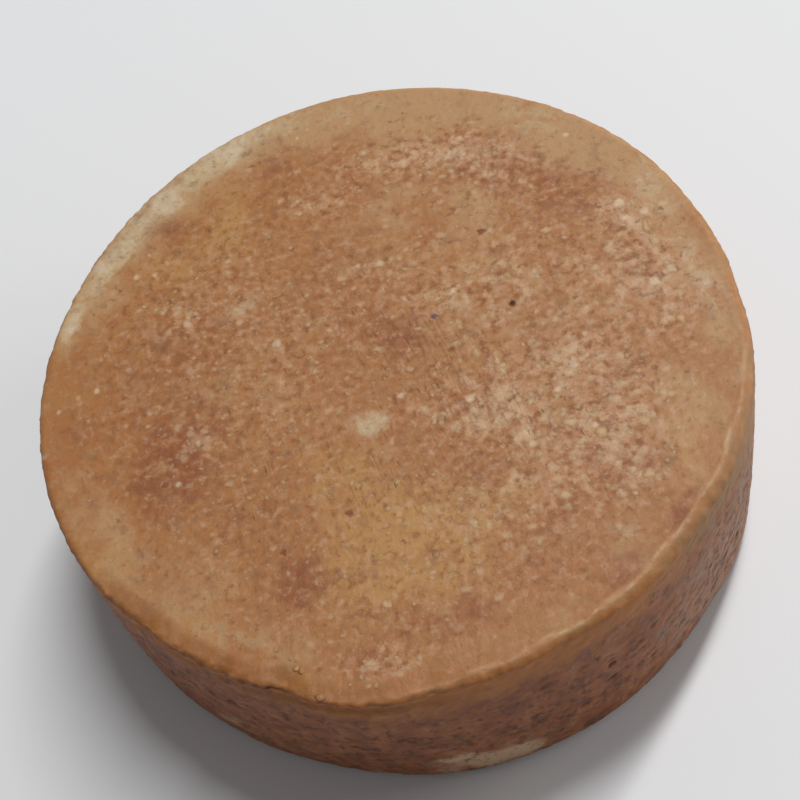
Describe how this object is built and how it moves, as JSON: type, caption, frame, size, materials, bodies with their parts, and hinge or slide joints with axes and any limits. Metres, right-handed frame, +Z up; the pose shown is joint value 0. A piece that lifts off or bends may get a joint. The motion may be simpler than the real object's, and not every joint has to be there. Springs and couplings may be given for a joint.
{
  "type": "shaving soap puck",
  "caption": "Round cake of hard shaving soap with a flat base and a wire-cut top face, in which coloured grains and pale flecks sit in small pockets.",
  "frame": {"origin": "centre of the base, on the surface that the puck lies on", "axes": "+Z up through the puck's thickness, from the base to the cut top face; -Y faces the viewer of the reference view, +X is to the right there"},
  "size_m": [0.0752, 0.0758, 0.024],
  "materials": {
    "hard_soap": "waxy, slightly translucent, mottled",
    "dark_grain": "matt, dark brown to black",
    "brown_grain": "smooth, red brown",
    "cream_fleck": "matt, waxy cream"
  },
  "bodies": {
    "root": {"soap_puck": "hard_soap", "dark_grain_left": "dark_grain", "dark_grain_right": "dark_grain", "brown_grain_left": "brown_grain", "brown_grain_front": "brown_grain", "brown_grain_front_left": "brown_grain", "brown_grain_middle": "brown_grain", "brown_grain_back": "brown_grain", "cream_fleck_middle": "cream_fleck", "cream_fleck_back_right": "cream_fleck", "cream_fleck_right": "cream_fleck", "cream_fleck_front_inner": "cream_fleck", "cream_fleck_front_middle": "cream_fleck", "cream_fleck_front_outer": "cream_fleck"}
  },
  "joints": []
}
